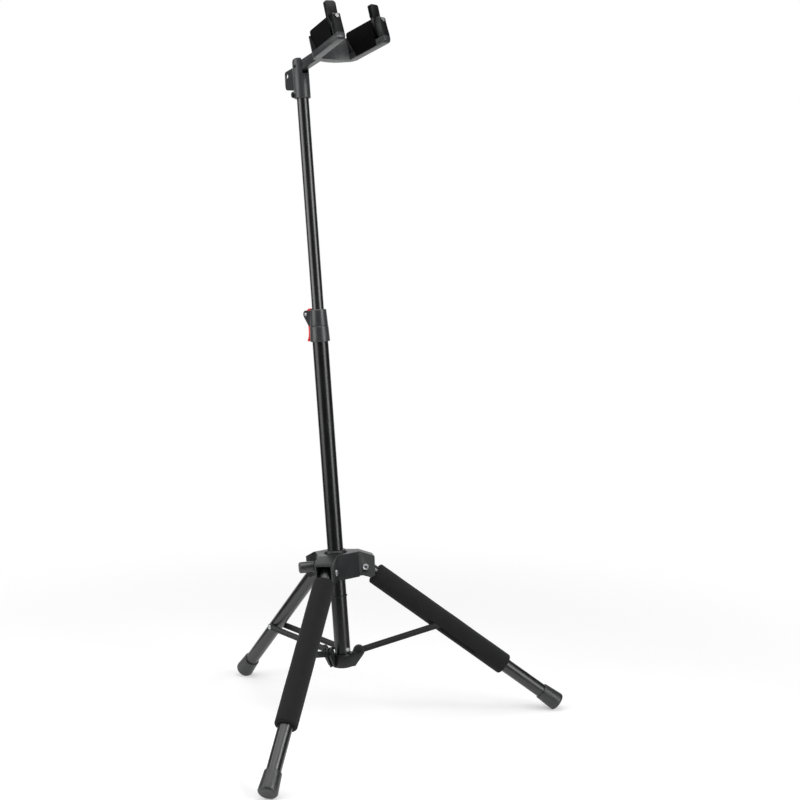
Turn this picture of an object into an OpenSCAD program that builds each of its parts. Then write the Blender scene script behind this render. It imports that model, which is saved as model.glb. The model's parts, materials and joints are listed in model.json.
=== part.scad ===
// Neck-hanging instrument stand: leaning column on a folding tripod, with a fork that shuts on the neck.
// Millimetres. Front faces -Y, +Z is up, floor at Z = 0, origin under the middle of the three feet.

/* [Column] */
// Backward lean of the column from vertical, degrees
lean_angle = 6.1; // [2:0.1:9]
// Outer diameter of the lower column tube
column_d = 25.4; // [22:0.1:28]
// Wall of the lower column tube
column_wall = 1.5; // [1:0.1:2]
// Lower end of the column tube, along the column from the floor
column_low_h = 86; // [76:1:92]
// Upper end of the column tube
column_top_h = 637; // [600:1:680]
// Height of the stop ring on the column
stop_ring_h = 201; // [190:1:210]
// Outer diameter of the sliding upper tube
mast_d = 19.05; // [16:0.05:20]
// Wall of the sliding upper tube
mast_wall = 1.2; // [0.8:0.1:1.6]
// Lower end of the upper tube inside the column
mast_low_h = 500; // [440:1:520]
// Upper end of the upper tube inside the head
mast_top_h = 1028; // [960:1:1060]
// Radial running clearance of sliding and turning fits
fit_gap = 0.06; // [0.03:0.01:0.1]

/* [Hub and legs] */
// Leg pivot height along the column
hub_pivot_h = 246; // [235:1:260]
// Leg pivot radius from the column axis
hub_pivot_r = 45; // [42:0.5:48]
// Leg angle from the column axis, degrees
leg_angle = 49.8; // [46:0.1:53]
// Front leg direction from the front axis, degrees
front_splay = 57.3; // [52:0.1:62]
// Leg tube diameter
leg_d = 22.2; // [19:0.1:23]
// Leg tube wall
leg_wall = 1.3; // [0.9:0.1:1.8]
// Leg tube overhang above its pivot
leg_over = 11; // [9:0.5:11.5]
// Thickness of the hub's walls
hub_wall = 3; // [2.5:0.1:4]
// Side play of a leg between the hub's walls
leg_play = 0.9; // [0.5:0.1:1.4]
// Hub reach beyond the leg pivot
hub_reach = 16; // [13:0.5:20]
// Diameter of the leg pivot rivets
pivot_d = 6; // [5:0.1:7]
// Bush wall between hub and column
bush_wall = 3.8; // [3:0.1:4.5]
// Lock knob diameter
knob_d = 18; // [15:0.5:22]
// Lock knob length
knob_len = 27; // [20:1:32]
// Distance from the column axis to the lock knob's near end
knob_near = 34; // [33:0.5:37]
// Lock screw diameter
lock_d = 6; // [5:0.1:7]
// Height of the lock screw above the leg pivots
lock_rise = 6; // [3:0.5:9]
// Grooves round the lock knob
knob_grooves = 6; // [4:1:8]

/* [Braces] */
// Brace pivot height along the column
collar_pivot_h = 111.6; // [105:0.2:118]
// Brace pivot radius from the column axis
collar_pivot_r = 25.2; // [24:0.2:28]
// Distance of the brace pivot down a front leg from the leg pivot
front_pivot_d = 160; // [152:1:168]
// Distance of the brace pivot down the rear leg from the leg pivot
rear_pivot_d = 179; // [170:1:185]
// Width of a brace bar
bar_w = 10; // [9:0.5:12]
// Thickness of a brace bar
bar_t = 2.5; // [2:0.1:3]
// Gap between a brace bar and the leg tube
bar_gap = 0.45; // [0.35:0.05:0.7]
// Thickness of a collar lug
lug_t = 2.6; // [2.2:0.1:3.2]
// Radius of a collar lug round its pin
lug_round = 9; // [8:0.2:10]
// Diameter of the collar pins
collar_pin_d = 5; // [4:0.1:5.5]
// Collar ring wall
collar_wall = 4; // [3:0.1:5]
// Collar ring height
collar_h = 21; // [18:0.5:23]

/* [Feet and foam] */
// Foot diameter at its closed end
foot_d = 30; // [28:0.5:33]
// Foot diameter at its mouth
foot_mouth_d = 26.6; // [25:0.2:28]
// Foot length
foot_len = 35; // [30:1:40]
// Rubber under the end of a leg tube
foot_floor = 6; // [4:0.5:8]
// Vertical depth of the flat sole
sole_cut = 2.2; // [1.5:0.1:2.6]
// Foam sleeve diameter
foam_d = 35; // [31:0.5:38]
// Clearance between the hub's lower corners and the foam sleeve
foam_gap = 0.5; // [0.3:0.1:3]
// Foam sleeve end along the leg from its pivot
foam_end = 285; // [260:1:300]
// Roundness of the foam sleeve's end edges
foam_round = 3; // [1:0.5:4]

/* [Clutch] */
// Overlap of the clutch on the column tube
clutch_over = 26.4; // [22:0.2:30]
// Clutch height
clutch_h = 51.4; // [48:0.2:54]
// Clutch diameter at its lower end
clutch_d = 31.4; // [30:0.2:35]
// Clutch diameter at its upper end
clutch_top_d = 26; // [25:0.2:28]
// Trigger pivot distance behind the column axis
trigger_back = 20.3; // [19.5:0.1:24]
// Trigger pivot above the clutch's lower end
trigger_rise = 44.5; // [42:0.5:46]
// Trigger width between the ears
trigger_w = 13.6; // [11:0.2:15]
// Ear plate thickness
ear_t = 3; // [2.4:0.1:3.4]

/* [Head and fork] */
// Head sleeve diameter
head_d = 25.6; // [24:0.2:28]
// Head sleeve length below the fork pivot
head_drop = 49.5; // [40:0.5:56]
// Head cheek height above the fork pivot
head_rise = 13; // [11:0.5:15]
// Length of the rear fin from the column axis
fin_len = 41.5; // [38:0.5:46]
// Thickness of the rear fin
fin_t = 3.2; // [2.4:0.2:6]
// Hang hole diameter in the rear fin
hang_hole_d = 7.4; // [4:0.2:7.6]
// Fork pivot height above the upper tube's end
fork_over = 16; // [12:0.5:24]
// Fork pivot distance in front of the column axis
fork_pivot_f = 2; // [0:0.5:4]
// Upward pitch of the fork from square to the column, degrees
fork_pitch = 12.3; // [9:0.1:14]
// Fork pin diameter
fork_pin_d = 5; // [4:0.1:6]
// Arm thickness
arm_w = 11; // [9:0.2:12]
// Arm height
arm_h = 15; // [13:0.5:16]
// Distance from fork pivot to the rear end of the prongs
prong_start = 83; // [78:0.5:90]
// Prong length
prong_len = 78; // [74:0.5:84]
// Prong thickness
prong_t = 13; // [12:0.2:15]
// Half distance between prong centres at their rear end
prong_half = 34.6; // [33:0.2:40]
// Outward turn of each prong, degrees
prong_turn = 7; // [5:0.1:11]
// Fork depth below the pivot
fork_below = 21.5; // [20:0.5:23]
// Post height above the pivot
fork_above = 20; // [18.5:0.5:22]
// Rail height under the pads
rail_h = 10; // [8:0.5:12]
// Web height above the pivot
web_above = 14; // [11:0.5:16]
// Web thickness behind the prongs
web_t = 8; // [6:0.5:10]
// Bow of the web's rear edge
web_bow = 4.5; // [2:0.5:6]
// Length of the gusset behind a pad, along the prong
heel_len = 13; // [10:0.5:16]
// Core plate thickness inside a pad
core_t = 4.4; // [3.6:0.2:5]
// Pad thickness on the inner side of a prong
pad_in = 5.6; // [4.8:0.2:6.4]
// Pad thickness on the outer side of a prong
pad_out = 3.4; // [2.6:0.2:4]
// Pad length
pad_len = 57; // [50:0.5:58]
// Gate pivot above the fork pivot
gate_pivot = 14.5; // [13:0.5:15]
// Gate reach above its pivot
gate_up = 28.5; // [26:0.5:33]
// Gate tail below its pivot
gate_down = 21; // [16:0.5:23]
// Gate thickness along the prong
gate_t = 6; // [5:0.2:6.4]
// Gate width
gate_w = 17; // [15:0.5:19]
// Gate pin diameter
gate_pin_d = 4; // [3.4:0.1:4.6]

/* [Hidden] */
$fn = 48;

az_right = front_splay - 90;
az_left = -90 - front_splay;
az_rear = 90;
az_knob = (az_rear + az_left + 360) / 2;

column_r = column_d / 2;
column_in_r = column_r - column_wall;
mast_r = mast_d / 2;
leg_r = leg_d / 2;
leg_in_r = leg_r - leg_wall;
foot_r = foot_d / 2;
foam_r = foam_d / 2;

hub_in = leg_r + leg_play;
hub_out = hub_in + hub_wall;
hub_end_r = hub_pivot_r + hub_reach;
bush_r = column_r + bush_wall;
core_r = bush_r + hub_wall;
web_r = hub_pivot_r - 10;
hub_low = -16;
hub_top = 25.5;
foam_start = norm([hub_reach - 3, hub_low]) + foam_gap;

bar_in = leg_r + bar_gap;
bar_out = bar_in + bar_t;
bar_mid = (bar_in + bar_out) / 2;
lug_in = bar_out + 0.4;
lug_out = lug_in + lug_t;
inner_lug_out = bar_in - 0.4;
inner_lug_in = inner_lug_out - lug_t;
lug_low = column_low_h - collar_pivot_h + 1.6;
collar_r = column_r + collar_wall;

function brace_pivot_d(az) = az == az_rear ? rear_pivot_d : front_pivot_d;
function brace_out(az) = hub_pivot_r + brace_pivot_d(az) * sin(leg_angle) - collar_pivot_r;
function brace_up(az) = hub_pivot_h - brace_pivot_d(az) * cos(leg_angle) - collar_pivot_h;
function brace_len(az) = norm([brace_out(az), brace_up(az)]);
function brace_angle(az) = atan2(brace_out(az), brace_up(az));
// A front leg has one bar, the bare rear leg one on each side
function bar_sides(az) = az == az_rear ? [-1, 1] : [-1];

function dir_z(az) = -sin(leg_angle) * sin(az) * sin(lean_angle) - cos(leg_angle) * cos(lean_angle);
function dir_y(az) = sin(leg_angle) * sin(az) * cos(lean_angle) - cos(leg_angle) * sin(lean_angle);
function pivot_z(az) = hub_pivot_h * cos(lean_angle) - hub_pivot_r * sin(az) * sin(lean_angle);
function leg_len(az) = (pivot_z(az) - foot_r * sqrt(1 - dir_z(az) * dir_z(az)) + sole_cut) / -dir_z(az);
function pivot_y(az) = hub_pivot_r * sin(az) * cos(lean_angle) + hub_pivot_h * sin(lean_angle);
function end_y(az) = pivot_y(az) + leg_len(az) * dir_y(az);
function foot_y(az, s) = end_y(az) + s * foot_r * sqrt(1 - dir_y(az) * dir_y(az));
column_foot_y = -(foot_y(az_rear, 1) + foot_y(az_right, -1)) / 2;

clutch_low_h = column_top_h - clutch_over;
ear_in = trigger_w / 2 + 0.4;
ear_out = ear_in + ear_t;
ear_r = 6.3;
seam_h = clutch_h * 0.47;
seam_r = (clutch_d + clutch_top_d) / 4 + 0.2;
trigger_h = clutch_low_h + trigger_rise;

fork_pivot_h = mast_top_h + fork_over;
rail_top = rail_h - fork_below;
lip_low = 2.5 - fork_below;
pad_end = prong_start + 4 + pad_len;
gate_near = pad_end + 0.4;
gate_far = gate_near + gate_t;
post_rear = gate_far + 0.4 - prong_start;
web_step = 0.5;
web_side = prong_half - 8;
heel_top = web_above - web_step;
fork_front = prong_start + prong_len;

function arc(cx, cy, r, a0, a1, n) =
  [for (i = [0:n]) [cx + r * cos(a0 + (a1 - a0) * i / n), cy + r * sin(a0 + (a1 - a0) * i / n)]];

// Along the column: +Z up the column, -Y to the front
module column_frame() {
  translate([0, column_foot_y, 0]) rotate([-lean_angle, 0, 0]) children();
}

// At a leg's azimuth and the hub's pivot height: +X outwards
module hub_frame(az) {
  column_frame() translate([0, 0, hub_pivot_h]) rotate([0, 0, az]) children();
}

// On the lock screw: +Z outwards from the column axis
module lock_frame() {
  column_frame() translate([0, 0, hub_pivot_h + lock_rise]) rotate([0, 0, az_knob]) rotate([0, 90, 0])
    children();
}

// On a leg: +Z down the leg from its pivot, +X to its underside
module leg_frame(az) {
  hub_frame(az) translate([hub_pivot_r, 0, 0]) rotate([0, 180 - leg_angle, 0]) children();
}

// On a brace: +Z from the collar pin towards the leg
module brace_frame(az) {
  column_frame() translate([0, 0, collar_pivot_h]) rotate([0, 0, az])
    translate([collar_pivot_r, 0, 0]) rotate([0, brace_angle(az), 0]) children();
}

// On the fork: origin at its pin, -Y along the arm
module fork_frame() {
  column_frame() translate([0, -fork_pivot_f, fork_pivot_h]) rotate([-fork_pitch, 0, 0]) children();
}

// On a prong: origin at its rear end, -Y along the prong
module prong_frame(side) {
  fork_frame() translate([side * prong_half, -prong_start, 0]) rotate([0, 0, side * prong_turn]) children();
}

// Ring or tube on the column from height h0 to h1
module ring(r_out, r_in, h0, h1) {
  translate([0, 0, h0]) difference() {
    cylinder(r = r_out, h = h1 - h0);
    translate([0, 0, -1]) cylinder(r = r_in, h = h1 - h0 + 2);
  }
}

// Pin along Y, centred
module pin_y(r, len) {
  rotate([90, 0, 0]) cylinder(r = r, h = len, center = true);
}

// Pin along X, centred
module pin_x(r, len) {
  rotate([0, 90, 0]) cylinder(r = r, h = len, center = true);
}

// Plate standing in the front-to-back plane, from points of distance behind the axis and height
module side_plate(points, x0, x1) {
  translate([x0, 0, 0]) rotate([90, 0, 90]) linear_extrude(x1 - x0) polygon(points);
}

module column_tube() {
  color("#17181a") column_frame() difference() {
    ring(column_r, column_in_r, column_low_h, column_top_h);
    translate([0, 0, stop_ring_h]) rotate_extrude() translate([column_r + 0.3, 0]) circle(r = 1, $fn = 16);
    translate([0, 0, collar_pivot_h + 2]) rotate([90, 0, 0]) cylinder(r = 2.4, h = 40, $fn = 24);
  }
}

module column_end_plug() {
  color("#26272a") column_frame() difference() {
    union() {
      translate([0, 0, column_low_h]) cylinder(r = column_in_r, h = 42);
      translate([0, 0, column_low_h - 1.5]) cylinder(r1 = column_r - 1, r2 = column_r, h = 1.5);
    }
    translate([0, 0, collar_pivot_h + 2]) rotate([90, 0, 0]) cylinder(r = 2.4, h = 40, $fn = 24);
    translate([0, 0, column_low_h + 10]) cylinder(r = column_in_r - 3, h = 40);
  }
}

module column_rivet() {
  color("#b9bbbd") column_frame() translate([0, 0, collar_pivot_h + 2]) rotate([90, 0, 0]) {
    translate([0, 0, column_in_r - 3]) cylinder(r = 2.4, h = column_r - column_in_r + 3, $fn = 24);
    translate([0, 0, column_r]) rotate_extrude($fn = 24)
      polygon(concat([[0, 0], [3.6, 0]], arc(0, 0.2, 3.6, 0, 90, 5)));
  }
}

module stop_ring() {
  color("#b9bbbd") column_frame() translate([0, 0, stop_ring_h])
    rotate_extrude(angle = 340) translate([column_r + 0.3, 0]) circle(r = 1, $fn = 16);
}

// Side profile of a collar lug: outward distance and height above the brace pin
function lug_points() = concat(
  [[0, lug_low], [collar_pivot_r - 8, lug_low]],
  arc(collar_pivot_r, 0, lug_round, -35, 150, 12),
  [[collar_pivot_r - 12, -5], [0, -9]]);

// Lug between two distances to one side of a leg's plane
module collar_lug(near, far) {
  translate([0, far, 0]) rotate([90, 0, 0]) linear_extrude(far - near) polygon(lug_points());
}

module collar_lugs(az) {
  translate([0, 0, collar_pivot_h]) rotate([0, 0, az]) {
    collar_lug(-lug_out, -lug_in);
    if (az == az_rear) collar_lug(lug_in, lug_out);
    if (az != az_rear) collar_lug(-inner_lug_out, -inner_lug_in);
  }
}

module brace_collar() {
  color("#1d1e20") column_frame() difference() {
    union() {
      translate([0, 0, column_low_h]) cylinder(r = collar_r, h = collar_h);
      for (az = [az_left, az_right, az_rear]) collar_lugs(az);
    }
    translate([0, 0, column_low_h - 5]) cylinder(r = column_r, h = 60);
    for (az = [az_left, az_right, az_rear]) translate([0, 0, collar_pivot_h]) rotate([0, 0, az]) {
      translate([collar_pivot_r, 0, 0]) pin_y(collar_pin_d / 2, 60);
      for (s = bar_sides(az)) translate([collar_r - 0.6, s * bar_mid - bar_t / 2 - 0.4, -40])
        cube([30, bar_t + 0.8, 80]);
    }
  }
}

// Pin along Y from near to far, with a hollow head at each end
module collar_pin(near, far) {
  translate([0, (near + far) / 2, 0]) for (s = [0, 180]) rotate([0, 0, s]) rotate([-90, 0, 0]) {
    cylinder(r = collar_pin_d / 2, h = (far - near) / 2);
    translate([0, 0, (far - near) / 2]) rotate_extrude($fn = 32)
      polygon([[0, 0], [3.7, 0], [3.7, 0.7], [3.1, 1.5], [2.2, 1.5], [1.6, 0.4], [0, 0.4]]);
  }
}

module collar_pins() {
  color("#b9bbbd") column_frame() for (az = [az_left, az_right, az_rear])
    translate([0, 0, collar_pivot_h]) rotate([0, 0, az]) translate([collar_pivot_r, 0, 0])
      collar_pin(-lug_out, az == az_rear ? lug_out : -inner_lug_in);
}

// Clutch outline: radius and height above its lower end, with a moulding seam half way up
function clutch_points() = [
  [column_r + 0.02, 0], [clutch_d / 2 - 0.8, 0], [clutch_d / 2, 0.8], [clutch_d / 2 - 0.2, 6],
  [seam_r + 0.2, seam_h - 0.6], [seam_r - 0.4, seam_h], [seam_r - 0.1, seam_h + 0.6],
  [clutch_top_d / 2 + 0.1, clutch_h - 1], [clutch_top_d / 2 - 0.9, clutch_h],
  [mast_r + 0.4, clutch_h], [mast_r + 0.4, clutch_over + 2],
  [column_r, clutch_over + 2], [column_r, 0]];

function ear_points() = concat(
  [[4, 28], [trigger_back - 5.5, 26]],
  arc(trigger_back, trigger_rise, ear_r, -35, 100, 12),
  [[4, clutch_h - 2]]);

module clutch_body() {
  color("#34363a") column_frame() translate([0, 0, clutch_low_h]) difference() {
    union() {
      rotate_extrude() polygon(clutch_points());
      for (s = [-1, 1]) side_plate(ear_points(), s > 0 ? ear_in : -ear_out, s > 0 ? ear_out : -ear_in);
    }
    translate([0, 0, -1]) cylinder(r = column_r, h = clutch_over + 3);
    translate([0, 0, 20]) cylinder(r = mast_r + 0.4, h = clutch_h);
    translate([-ear_in, column_r + 0.9, -1]) cube([2 * ear_in, 30, clutch_h + 2]);
    translate([-ear_in, mast_r + 1.9, clutch_over + 5]) cube([2 * ear_in, 30, clutch_h]);
    translate([0, trigger_back, trigger_rise]) pin_x(2, 60);
  }
}

module clutch_pin() {
  color("#b9bbbd") column_frame() translate([0, trigger_back, trigger_h]) {
    pin_x(2, 2 * ear_out);
    for (s = [0, 180]) rotate([0, 0, s]) translate([ear_out, 0, 0]) rotate([0, 90, 0])
      rotate_extrude($fn = 32) polygon([[0, 0], [3.2, 0], [3, 0.8], [1.6, 1.2], [1.2, 0.7], [0, 0.7]]);
  }
}

module guide_bush() {
  color("#d8d8d2") column_frame() difference() {
    union() {
      ring(column_in_r, mast_r + fit_gap, column_top_h - 40, column_top_h);
      ring(column_r, mast_r + fit_gap, column_top_h, column_top_h + 2);
    }
    for (a = [0, 120, 240]) rotate([0, 0, a]) translate([-0.6, mast_r - 1, column_top_h - 41])
      cube([1.2, 6, 22]);
  }
}

// Trigger outline: distance behind the axis and height above the clutch's lower end
function trigger_points() = concat(
  arc(trigger_back, trigger_rise, ear_r - 0.7, -50, 60, 8),
  [[trigger_back - 2.6, trigger_rise + 8.8], [trigger_back - 5.4, trigger_rise + 9.2],
   [trigger_back - 8.2, trigger_rise + 8.6], [trigger_back - 8.4, trigger_rise + 5],
   [trigger_back - 6, trigger_rise - 2], [trigger_back - 4.4, trigger_rise - 13],
   [trigger_back - 3.6, trigger_rise - 28], [trigger_back - 2.2, trigger_rise - 38],
   [trigger_back + 0.6, trigger_rise - 43], [trigger_back + 3.8, trigger_rise - 43.6],
   [trigger_back + 4.6, trigger_rise - 41.2], [trigger_back + 1.4, trigger_rise - 36],
   [trigger_back - 0.2, trigger_rise - 28], [trigger_back, trigger_rise - 14]]);

module clutch_trigger() {
  color("#b3151b") column_frame() translate([0, 0, clutch_low_h]) difference() {
    side_plate(trigger_points(), -trigger_w / 2, trigger_w / 2);
    translate([0, trigger_back, trigger_rise]) pin_x(2 + fit_gap, 60);
  }
}

module mast_tube() {
  color("#17181a") column_frame() ring(mast_r, mast_r - mast_wall, mast_low_h, mast_top_h);
}

module slide_bush() {
  color("#d8d8d2") column_frame() {
    ring(column_in_r - fit_gap, mast_r, mast_low_h, mast_low_h + 30);
    translate([0, 0, mast_low_h - 3]) cylinder(r = column_in_r - fit_gap, h = 3);
  }
}

// Fin outline: distance behind the axis and height from the fork pivot
function fin_points() = [
  [4, 5], [11, 3.4], [17, 2], [fin_len - 15, 0], [fin_len - 4, -1.8], [fin_len - 1.4, -3.4],
  [fin_len - 0.6, -6], [fin_len, -25], [fin_len - 0.8, -29], [fin_len - 3.6, -31], [4, -37]];

// Outline that rounds off the head over the fork pivot: distance behind the axis and height
function crown_points() = [
  [head_d, -head_drop - 1], [head_d, 1], [11, 3.2], [7, 7.2], [3, 10.4], [-1, head_rise - 1],
  [-5, head_rise], [-9, head_rise - 0.2], [-11.4, head_rise - 2], [-12.6, head_rise - 5],
  [-head_d, head_rise - 12], [-head_d, -head_drop - 1]];

module head_housing() {
  color("#3a3c40") column_frame() translate([0, 0, fork_pivot_h]) difference() {
    union() {
      intersection() {
        translate([0, 0, -head_drop]) rotate_extrude() polygon([[0, 0], [head_d / 2 - 1, 0], [head_d / 2, 1],
          [head_d / 2, head_drop + head_rise + 1], [0, head_drop + head_rise + 1]]);
        side_plate(crown_points(), -head_d, head_d);
      }
      side_plate(fin_points(), -fin_t / 2, fin_t / 2);
      rotate([0, 0, 150]) translate([head_d / 2 - 2.5, 0, -head_drop + 6.5]) rotate([0, 90, 0])
        cylinder(r = 6, h = 3.3);
    }
    translate([0, 0, -head_drop - 1]) cylinder(r = mast_r, h = head_drop + 1 - fork_over);
    translate([-arm_w / 2 - 0.3, -40, -11.5]) cube([arm_w + 0.6, 40 + 8, 60]);
    translate([0, -fork_pivot_f, 0]) pin_x(fork_pin_d / 2, 60);
    translate([0, fin_len - 5.7, -9.4]) pin_x(hang_hole_d / 2, 40);
    rotate([0, 0, 150]) translate([0, 0, -head_drop + 6.5]) rotate([0, 90, 0])
      cylinder(r = 2.5, h = 40, $fn = 24);
  }
}

module head_screw() {
  color("#141516") column_frame() translate([0, 0, fork_pivot_h - head_drop + 6.5]) rotate([0, 0, 150])
    rotate([0, 90, 0]) difference() {
      union() {
        translate([0, 0, mast_r]) cylinder(r = 2.5, h = head_d / 2 - mast_r + 0.8, $fn = 24);
        translate([0, 0, head_d / 2 + 0.8]) rotate_extrude($fn = 32)
          polygon([[0, 0], [5, 0], [5, 1.6], [4.6, 2.8], [3.7, 3.8], [2.4, 4.3], [0, 4.5]]);
      }
      translate([0, 0, head_d / 2 + 2.8]) cylinder(r = 1.8, h = 6, $fn = 6);
    }
}

module fork_pin() {
  color("#b9bbbd") column_frame() translate([0, -fork_pivot_f, fork_pivot_h])
    pin_x(fork_pin_d / 2, head_d - 1);
}

// Point on a prong in plan: outwards across it and forward along it from its rear end
function prong_point(s, across, along) = [
  s * (prong_half + across * cos(prong_turn) + along * sin(prong_turn)),
  -prong_start + across * sin(prong_turn) - along * cos(prong_turn)];

// Plan outline of one half of the web, from its rear edge round the corner to its front edge
function web_half(s) = concat(
  [for (i = [1:5]) [s * web_side * i / 5, -prong_start + web_t + web_bow * (1 - i * i / 25)]],
  [[s * (prong_half - 1), -prong_start + web_t - 2],
  prong_point(s, prong_t / 2 - web_step - 2, -3.6), prong_point(s, prong_t / 2 - web_step, 0),
  prong_point(s, prong_t / 2 - web_step, 3), prong_point(s, web_step - prong_t / 2, 3),
  prong_point(s, -prong_t / 2 - 1.5, 2.4),
  [s * (prong_half - prong_t / 2 - 6), -prong_start - 1]]);

function web_points() = concat(web_half(1), [for (i = [len(web_half(-1)) - 1:-1:0]) web_half(-1)[i]]);

module fork_web() {
  translate([0, 0, web_step - fork_below]) linear_extrude(fork_below - web_step + web_above)
    polygon(web_points());
}

// Side outline of a prong: along it, with its gusset, its rail and the post at its front end
function prong_points() = concat(
  [[-2, -fork_below], [-2, heel_top], [-4, heel_top], [-heel_len, rail_top], [-post_rear, rail_top]],
  arc(-post_rear - 3, fork_above - 3, 3, 0, 90, 4),
  arc(-prong_len + 4, fork_above - 4, 4, 90, 180, 4),
  [[-prong_len, gate_pivot - 4], [-prong_len - 1.5, rail_top + 3]],
  arc(-prong_len + 4, -fork_below + 5.5, 5.5, 180, 270, 4));

// Plate that stands on a prong's rail and carries its pad
module prong_core() {
  translate([-core_t / 2, -pad_len - 2.5, rail_top - 1])
    cube([core_t, pad_len - 4, fork_above - rail_top - 1]);
}

module prong(side) {
  translate([side * prong_half, -prong_start, 0]) rotate([0, 0, side * prong_turn]) {
    translate([-prong_t / 2, 0, 0]) rotate([90, 0, 90]) linear_extrude(prong_t) polygon(prong_points());
    prong_core();
  }
}

module gate_bores(r) {
  for (s = [-1, 1]) translate([s * prong_half, -prong_start, 0]) rotate([0, 0, s * prong_turn])
    translate([0, prong_start - gate_near, gate_pivot]) rotate([90, 0, 0]) cylinder(r = r, h = 40);
}

module neck_fork() {
  color("#3f4145") fork_frame() difference() {
    union() {
      rotate([90, 0, 90]) translate([0, 0, -arm_w / 2]) linear_extrude(arm_w) polygon(concat(
        arc(0, 0, arm_h / 2, -90, 90, 10),
        [[-prong_start + 4, arm_h / 2], [-prong_start + 4, -arm_h / 2]]));
      fork_web();
      for (s = [-1, 1]) prong(s);
    }
    pin_x(fork_pin_d / 2 + fit_gap, 60);
    gate_bores(gate_pin_d / 2);
  }
}

// Pad outline down to a given height, with rounded free corners and its rear edge along the gusset
function pad_points(low) = concat(
  [[-4 - pad_len, low], [-4 - pad_len, fork_above - 2]],
  arc(-4 - pad_len + 3, fork_above - 2, 3, 180, 90, 4),
  arc(-8, fork_above - 3, 4, 90, 0, 5),
  [[-4, heel_top], [-heel_len - (rail_top - low) * (heel_len - 4) / (heel_top - rail_top), low]]);

module pad_slab(low, x0, x1) {
  translate([x0, 0, 0]) rotate([90, 0, 90]) linear_extrude(x1 - x0) polygon(pad_points(low));
}

// Pad boot over a prong's core plate, with a lip over the inner side of the rail
module fork_pad(side) {
  prong_frame(side) mirror([side > 0 ? 0 : 1, 0, 0]) difference() {
    union() {
      pad_slab(rail_top, -prong_t / 2 - 0.4, core_t / 2 + pad_out);
      pad_slab(lip_low, -core_t / 2 - pad_in, -prong_t / 2);
    }
    prong_core();
  }
}

module fork_pad_left() {
  color("#0f1011") fork_pad(-1);
}

module fork_pad_right() {
  color("#0f1011") fork_pad(1);
}

module gate_pins() {
  color("#b9bbbd") for (s = [-1, 1]) prong_frame(s) translate([0, 0, gate_pivot]) rotate([90, 0, 0]) {
    translate([0, 0, gate_near - prong_start + 0.1])
      cylinder(r = gate_pin_d / 2, h = fork_front - gate_near - 0.1);
    translate([0, 0, prong_len]) cylinder(r = 3.1, h = 1.4, $fn = 32);
  }
}

// Gate outline: across the prong and height from the gate pivot
function gate_points() = concat(
  [[-gate_w / 2, 2], [-gate_w / 2, gate_up - 3]],
  arc(-gate_w / 2 + 3, gate_up - 3, 3, 180, 90, 4),
  arc(gate_w / 2 - 3, gate_up - 3, 3, 90, 0, 4),
  [[gate_w / 2, 2], [gate_w / 4 + 0.6, -gate_down * 0.5], [1.8, -gate_down + 0.6], [1, -gate_down],
   [-1, -gate_down], [-1.8, -gate_down + 0.6], [-gate_w / 4 - 0.6, -gate_down * 0.5]]);

module gate(side) {
  prong_frame(side) translate([0, -(gate_near - prong_start), gate_pivot]) rotate([90, 0, 0]) difference() {
    linear_extrude(gate_t) polygon(gate_points());
    translate([0, 0, -1]) cylinder(r = gate_pin_d / 2 + fit_gap, h = gate_t + 2);
  }
}

module gate_left() {
  color("#3f4145") gate(-1);
}

module gate_right() {
  color("#3f4145") gate(1);
}

module gate_pad(side) {
  prong_frame(side) translate([0, -(gate_near - prong_start) - gate_t / 2, gate_pivot + gate_up / 2 + 2.5])
    translate([-side * (gate_w / 2 + 0.9), 0, 0]) cube([1.8, gate_t - 1, gate_up - 9], center = true);
}

module gate_pad_left() {
  color("#0f1011") gate_pad(-1);
}

module gate_pad_right() {
  color("#0f1011") gate_pad(1);
}

// Side profile of a hub arm: outward distance and height from the leg pivot
function arm_points() = [
  [4, hub_low + 1], [hub_pivot_r - 5, hub_low + 2.5], [hub_pivot_r + 8, hub_low - 2],
  [hub_end_r - 3, hub_low], [hub_end_r - 1, hub_low + 3], [hub_end_r, hub_top - 10],
  [hub_end_r - 1, hub_top - 8.8],
  [hub_pivot_r - 7, hub_top], [4, hub_top]];

function cavity_points() = [
  [core_r + 1, hub_low - 20], [hub_end_r + 20, hub_low - 20], [hub_end_r + 20, hub_top - hub_wall - 18.2],
  [hub_pivot_r - 7, hub_top - hub_wall], [core_r + 1, hub_top - hub_wall]];

function hub_plan(r, y) = [for (az = [az_left, az_right, az_rear]) for (s = [-1, 1])
  [r * cos(az) - s * y * sin(az), r * sin(az) + s * y * cos(az)]];

module hub_body() {
  color("#1d1e20") column_frame() translate([0, 0, hub_pivot_h]) difference() {
    union() {
      translate([0, 0, hub_low + 1]) linear_extrude(hub_top - hub_low - 1)
        polygon(hub_plan(web_r, hub_out));
      for (az = [az_left, az_right, az_rear]) rotate([0, 0, az]) translate([0, hub_out, 0])
        rotate([90, 0, 0]) linear_extrude(2 * hub_out) polygon(arm_points());
      rotate([0, 0, az_knob]) translate([22, 0, lock_rise]) rotate([0, 90, 0])
        cylinder(r = knob_d / 2, h = knob_near - 22.5);
    }
    for (az = [az_left, az_right, az_rear]) rotate([0, 0, az]) {
      translate([0, hub_in, 0]) rotate([90, 0, 0]) linear_extrude(2 * hub_in) polygon(cavity_points());
      translate([hub_pivot_r, 0, 0]) pin_y(pivot_d / 2, 80);
    }
    translate([0, 0, -60]) cylinder(r = bush_r, h = 120);
    rotate([0, 0, az_knob]) translate([0, 0, lock_rise]) rotate([0, 90, 0])
      cylinder(r = lock_d / 2, h = 60, $fn = 32);
  }
}

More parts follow.
